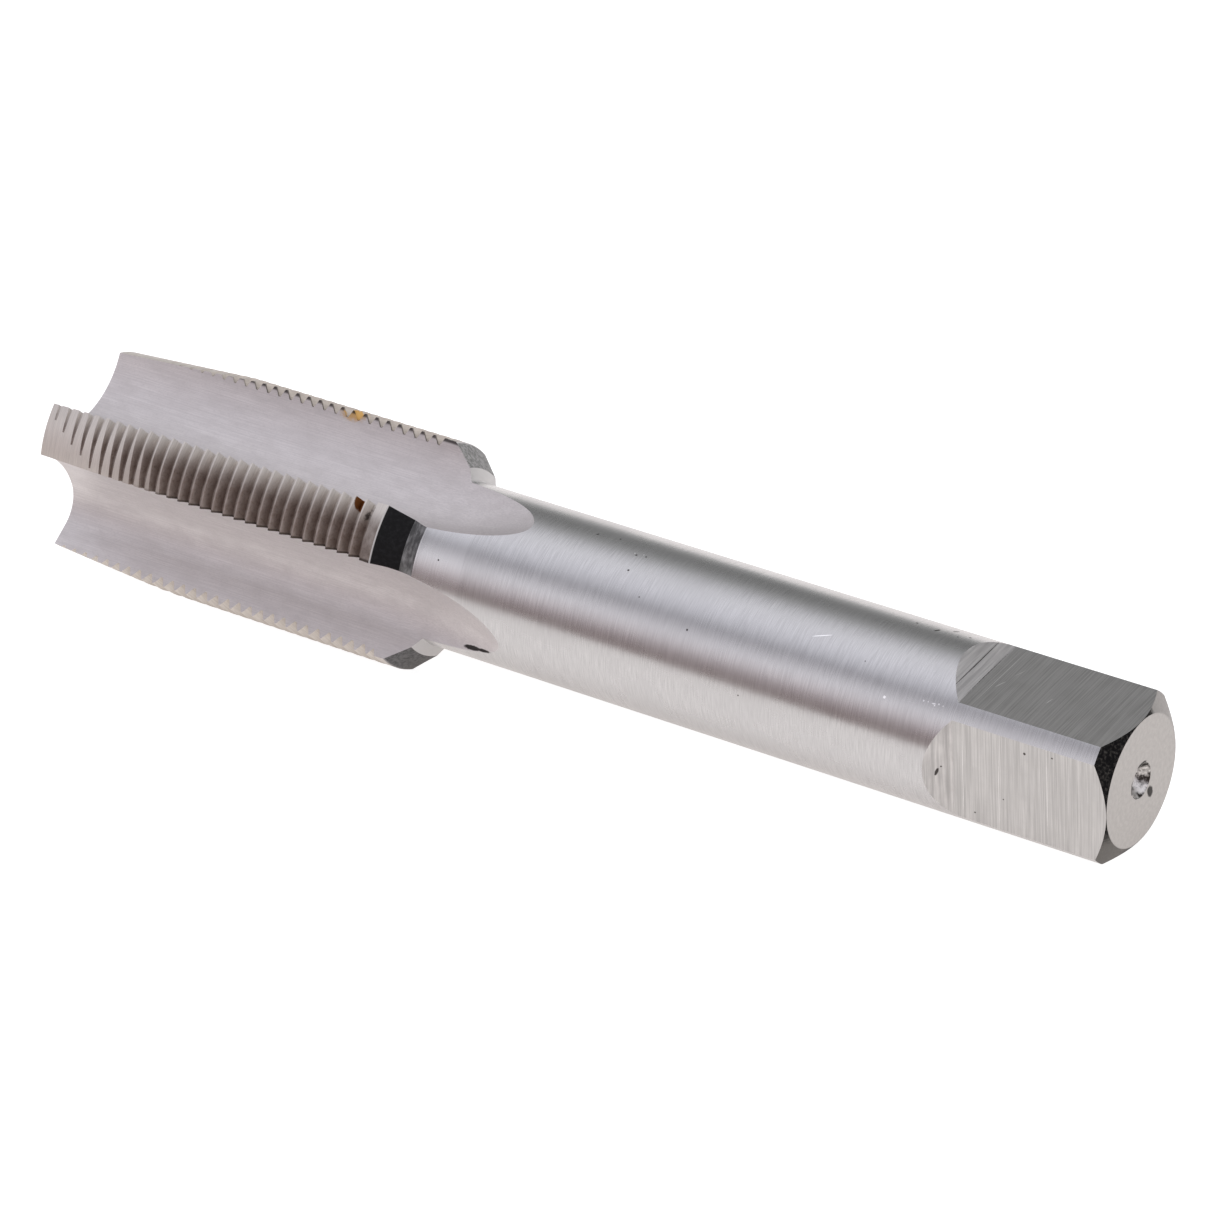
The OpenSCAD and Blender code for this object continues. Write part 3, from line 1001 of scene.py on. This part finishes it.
def body_finishes(colours):
    """The body's materials in the order of its surfaces."""
    dirt_and_shade, square = colours.residue, colours.square
    made = {
        SHANK: ground_shank(colours),
        NECK: turned_neck(colours),
        SCALE: black_scale(colours),
        COLLAR: ground_thread(
            "ground steel, collar", colours, 0.4, shaded(dirt_and_shade, 0.62), clear=12.0, full=1.0, share=0.9
        ),
        CREST: ground_thread(
            "ground steel, crests", colours, 0.42, shaded(dirt_and_shade, 0.9), clear=13.0, full=-3.0,
            share=0.88, at_tip=0.05,
        ),
        DRIVE_FLANK: ground_thread("ground steel, drive flanks", colours, 0.4, dirt_and_shade, clear=15.0, full=-1.0),
        TIP_FLANK: ground_thread("ground steel, tip flanks", colours, 0.4, dirt_and_shade, clear=15.0, full=-1.0),
        ROOT: ground_thread("ground steel, roots", colours, 0.5, shaded(dirt_and_shade, 0.8), clear=17.0, full=0.0),
        TIP_FACE: faced_end(colours),
        END_CONE: oxide_chamfer(colours),
        HOLE: torn_hole(colours),
        FLUTE: ground_flute(colours),
        FLAT: milled_flat(
            "milled steel, flats", shaded(square, 1.02), spacing=0.14, rough=0.3, depth=0.0014,
            low=0.73, dark=FLAT_DOTS, bright=FLAT_SCRATCHES,
        ),
        RAMP: milled_flat(
            "milled steel, ramps", shaded(square, 1.34), spacing=0.3, rough=0.62, depth=0.004,
            low=0.68, dark=RAMP_MARKS,
        ),
    }
    made[END_DISC] = made[TIP_FACE]
    return [made[surface] for surface in range(SURFACES)]


# ---- studio

# What stands round the tap at each angle, from lamps and white walls to the darker gaps between them
STUDIO_TONES = [
    (-180, "#FFFFFF"), (-112, "#FFFCFA"), (-103, "#D6CCC8"), (-91, "#948381"), (-80, "#968888"),
    (-71, "#BAADB0"), (-60, "#EBE3E8"), (-48, "#FBF8FF"), (-38, "#DAD7DE"), (-27, "#AFADB4"),
    (-14, "#E1E0E9"), (0, "#F7F6FF"), (19, "#F9F8FF"), (32, "#E2E1E7"), (46, "#AFAFB0"),
    (58, "#8C8C8C"), (74, "#838383"), (85, "#ABABAB"), (98, "#EEEFEF"), (112, "#FFFFFF"),
    (180, "#FFFFFF"),
]
STUDIO_GLOW = 1.06

# How far below the axis the sheet touches the two lowest lands at the collar and the shank at its end,
# but for a gap. Half its width, in metres, and its glow as the camera and as the steel see it.
LAND_REST, SHANK_REST, FLOOR_GAP = 10.78, 9.0, 0.01
FLOOR_HALF = 2.5
FLOOR_SEEN, FLOOR_MIRRORED = 0.9, 0.68

# The axes are unit vectors, and the place is in metres
CAMERA_SENSOR, CAMERA_LENS, CAMERA_RANGE = 36.0, 160.977, (0.01, 20.0)
CAMERA_RIGHT = (0.8303, 0.5486, -0.0983)
CAMERA_UP = (-0.2638, 0.5422, 0.7978)
CAMERA_BACK = (0.4909, -0.6365, 0.5949)
CAMERA_PLACE = (0.27934, -0.3595, 0.3364)


def studio_world():
    """A plain studio round the tap: white above and in front, with darker gaps between the lamps, which
    a round bar shows as its soft bands. The camera sees it white."""
    world = bpy.data.worlds.new("studio")
    world.use_nodes = True
    tree = world.node_tree
    tree.nodes.clear()
    way = add(tree, "ShaderNodeTexCoord").outputs["Generated"]
    axes = add(tree, "ShaderNodeSeparateXYZ", {"Vector": way}).outputs
    turn = add(tree, "ShaderNodeMath", {0: axes["Y"], 1: axes["Z"]}, operation="ARCTAN2")
    inputs = {"Value": turn, "From Min": -math.pi, "From Max": math.pi}
    share = add(tree, "ShaderNodeMapRange", inputs)
    stops = [((angle + 180) / 360, linear(colour)) for angle, colour in STUDIO_TONES]
    ramp = add(tree, "ShaderNodeValToRGB", {"Fac": share}, stops=stops)
    path = add(tree, "ShaderNodeLightPath")
    inputs = {0: path.outputs["Is Camera Ray"], 6: ramp, 7: linear("#FFFFFF")}
    seen = add(tree, "ShaderNodeMix", inputs, data_type="RGBA")
    glow = add(tree, "ShaderNodeBackground", {"Color": seen, "Strength": STUDIO_GLOW})
    add(tree, "ShaderNodeOutputWorld", {"Surface": glow})
    bpy.context.scene.world = world


def white_floor():
    """A matt white sheet under the tap, which lies on it as the real one does. It shows white and keeps
    a light shadow."""
    rise_rate = (LAND_REST - SHANK_REST) / (COLLAR_S - END_CHAMFER)
    height = -(SHANK_REST + FLOOR_GAP + (LENGTH / 2 - END_CHAMFER) * rise_rate) * MM
    low, high = height - FLOOR_HALF * rise_rate, height + FLOOR_HALF * rise_rate
    size = FLOOR_HALF
    corners = [(-size, -size, low), (size, -size, high), (size, size, high), (-size, size, low)]
    mesh = bpy.data.meshes.new("floor")
    mesh.from_pydata(corners, [], [(0, 1, 2, 3)])
    floor = linked("floor", mesh)
    made = bpy.data.materials.new("matt white paper")
    made.use_nodes = True
    tree = made.node_tree
    tree.nodes.clear()
    path = add(tree, "ShaderNodeLightPath").outputs
    seen = path["Is Camera Ray"]
    inputs = {0: path["Is Glossy Ray"], 1: path["Is Transmission Ray"]}
    mirrored = add(tree, "ShaderNodeMath", inputs, operation="ADD")
    mirrored = add(tree, "ShaderNodeMath", {0: mirrored, 1: FLOOR_MIRRORED}, operation="MULTIPLY")
    inputs = {0: seen, 1: FLOOR_SEEN, 2: mirrored}
    lit = add(tree, "ShaderNodeMath", inputs, operation="MULTIPLY_ADD")
    # the sheet is a little warm, which the steel shows and the white of the picture doesn't
    inputs = {0: seen, 6: linear("#FFF7F3"), 7: linear("#FFFFFF")}
    tint = add(tree, "ShaderNodeMix", inputs, data_type="RGBA")
    paper = add(tree, "ShaderNodeBsdfDiffuse", {"Color": linear("#A0A0A0")})
    glow = add(tree, "ShaderNodeEmission", {"Color": tint, "Strength": lit})
    both = add(tree, "ShaderNodeAddShader", {0: paper, 1: glow})
    add(tree, "ShaderNodeOutputMaterial", {"Surface": both})
    mesh.materials.append(made)


def soft_lamp(name, place, aim, size, watts):
    """A square soft lamp, which lights the floor and isn't itself mirrored."""
    data = bpy.data.lights.new(name, "AREA")
    data.shape, data.size, data.energy = "SQUARE", size, watts
    lamp = linked(name, data)
    lamp.location = place
    lamp.rotation_mode = "QUATERNION"
    lamp.rotation_quaternion = (Vector(aim) - Vector(place)).to_track_quat("-Z", "Y")
    lamp.visible_glossy = False


def camera():
    """The camera where the photograph was taken from, with a long lens."""
    data = bpy.data.cameras.new("camera")
    data.sensor_width, data.lens = CAMERA_SENSOR, CAMERA_LENS
    data.clip_start, data.clip_end = CAMERA_RANGE
    made = linked("camera", data)
    pose = Matrix([CAMERA_RIGHT, CAMERA_UP, CAMERA_BACK]).transposed().to_4x4()
    pose.translation = CAMERA_PLACE
    made.matrix_world = pose
    bpy.context.scene.camera = made


# ---- add-on


class TAP_OT_body(bpy.types.Operator):
    """Makes the tap's ground, threaded and fluted body"""

    bl_idname = "tap.body"
    bl_label = "Tap body"

    def execute(self, context):
        shape = context.scene.tap_shape
        mesh = cut_body(shape)
        normals = corner_normals(shape, mesh)
        for slot, made in enumerate(body_finishes(context.scene.tap_colours)):
            mesh.materials[slot] = made
        mesh.polygons.foreach_set("use_smooth", [True] * len(mesh.polygons))
        mesh.normals_split_custom_set(normals.tolist())
        body = linked("tap_body", mesh)
        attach(body, "root")
        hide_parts("tap")
        return {"FINISHED"}


class TAP_OT_stage(bpy.types.Operator):
    """Makes the white floor, the studio light and the camera"""

    bl_idname = "tap.stage"
    bl_label = "Stage"

    def execute(self, context):
        context.scene.view_settings.view_transform = "Standard"
        studio_world()
        white_floor()
        soft_lamp("lamp above", place=(0.1, 0.15, 0.9), aim=(0, 0, 0), size=0.8, watts=5.0)
        camera()
        return {"FINISHED"}


class TAP_PT_panel(bpy.types.Panel):
    """Lists the tap's sizes and colours, and makes its parts"""

    bl_idname = "TAP_PT_panel"
    bl_label = "Thread tap"
    bl_space_type = "VIEW_3D"
    bl_region_type = "UI"
    bl_category = "Tap"

    def draw(self, context):
        column = self.layout.column()
        for key in ("length", "shank_d", "thread_d", "pitch", "core_d", "square_w"):
            column.prop(context.scene.tap_shape, key)
        for key in ("shank", "thread", "residue", "flute", "square", "ends", "scale", "rust", "gold"):
            column.prop(context.scene.tap_colours, key)
        column.operator("tap.body")
        column.operator("tap.stage")


CLASSES = (TapShape, TapColours, TAP_OT_body, TAP_OT_stage, TAP_PT_panel)


def register():
    for cls in CLASSES:
        bpy.utils.register_class(cls)
    bpy.types.Scene.tap_shape = bpy.props.PointerProperty(type=TapShape)
    bpy.types.Scene.tap_colours = bpy.props.PointerProperty(type=TapColours)


def unregister():
    del bpy.types.Scene.tap_colours
    del bpy.types.Scene.tap_shape
    for cls in reversed(CLASSES):
        bpy.utils.unregister_class(cls)


def main():
    register()
    bpy.ops.tap.body()
    bpy.ops.tap.stage()


if __name__ == "__main__":
    main()
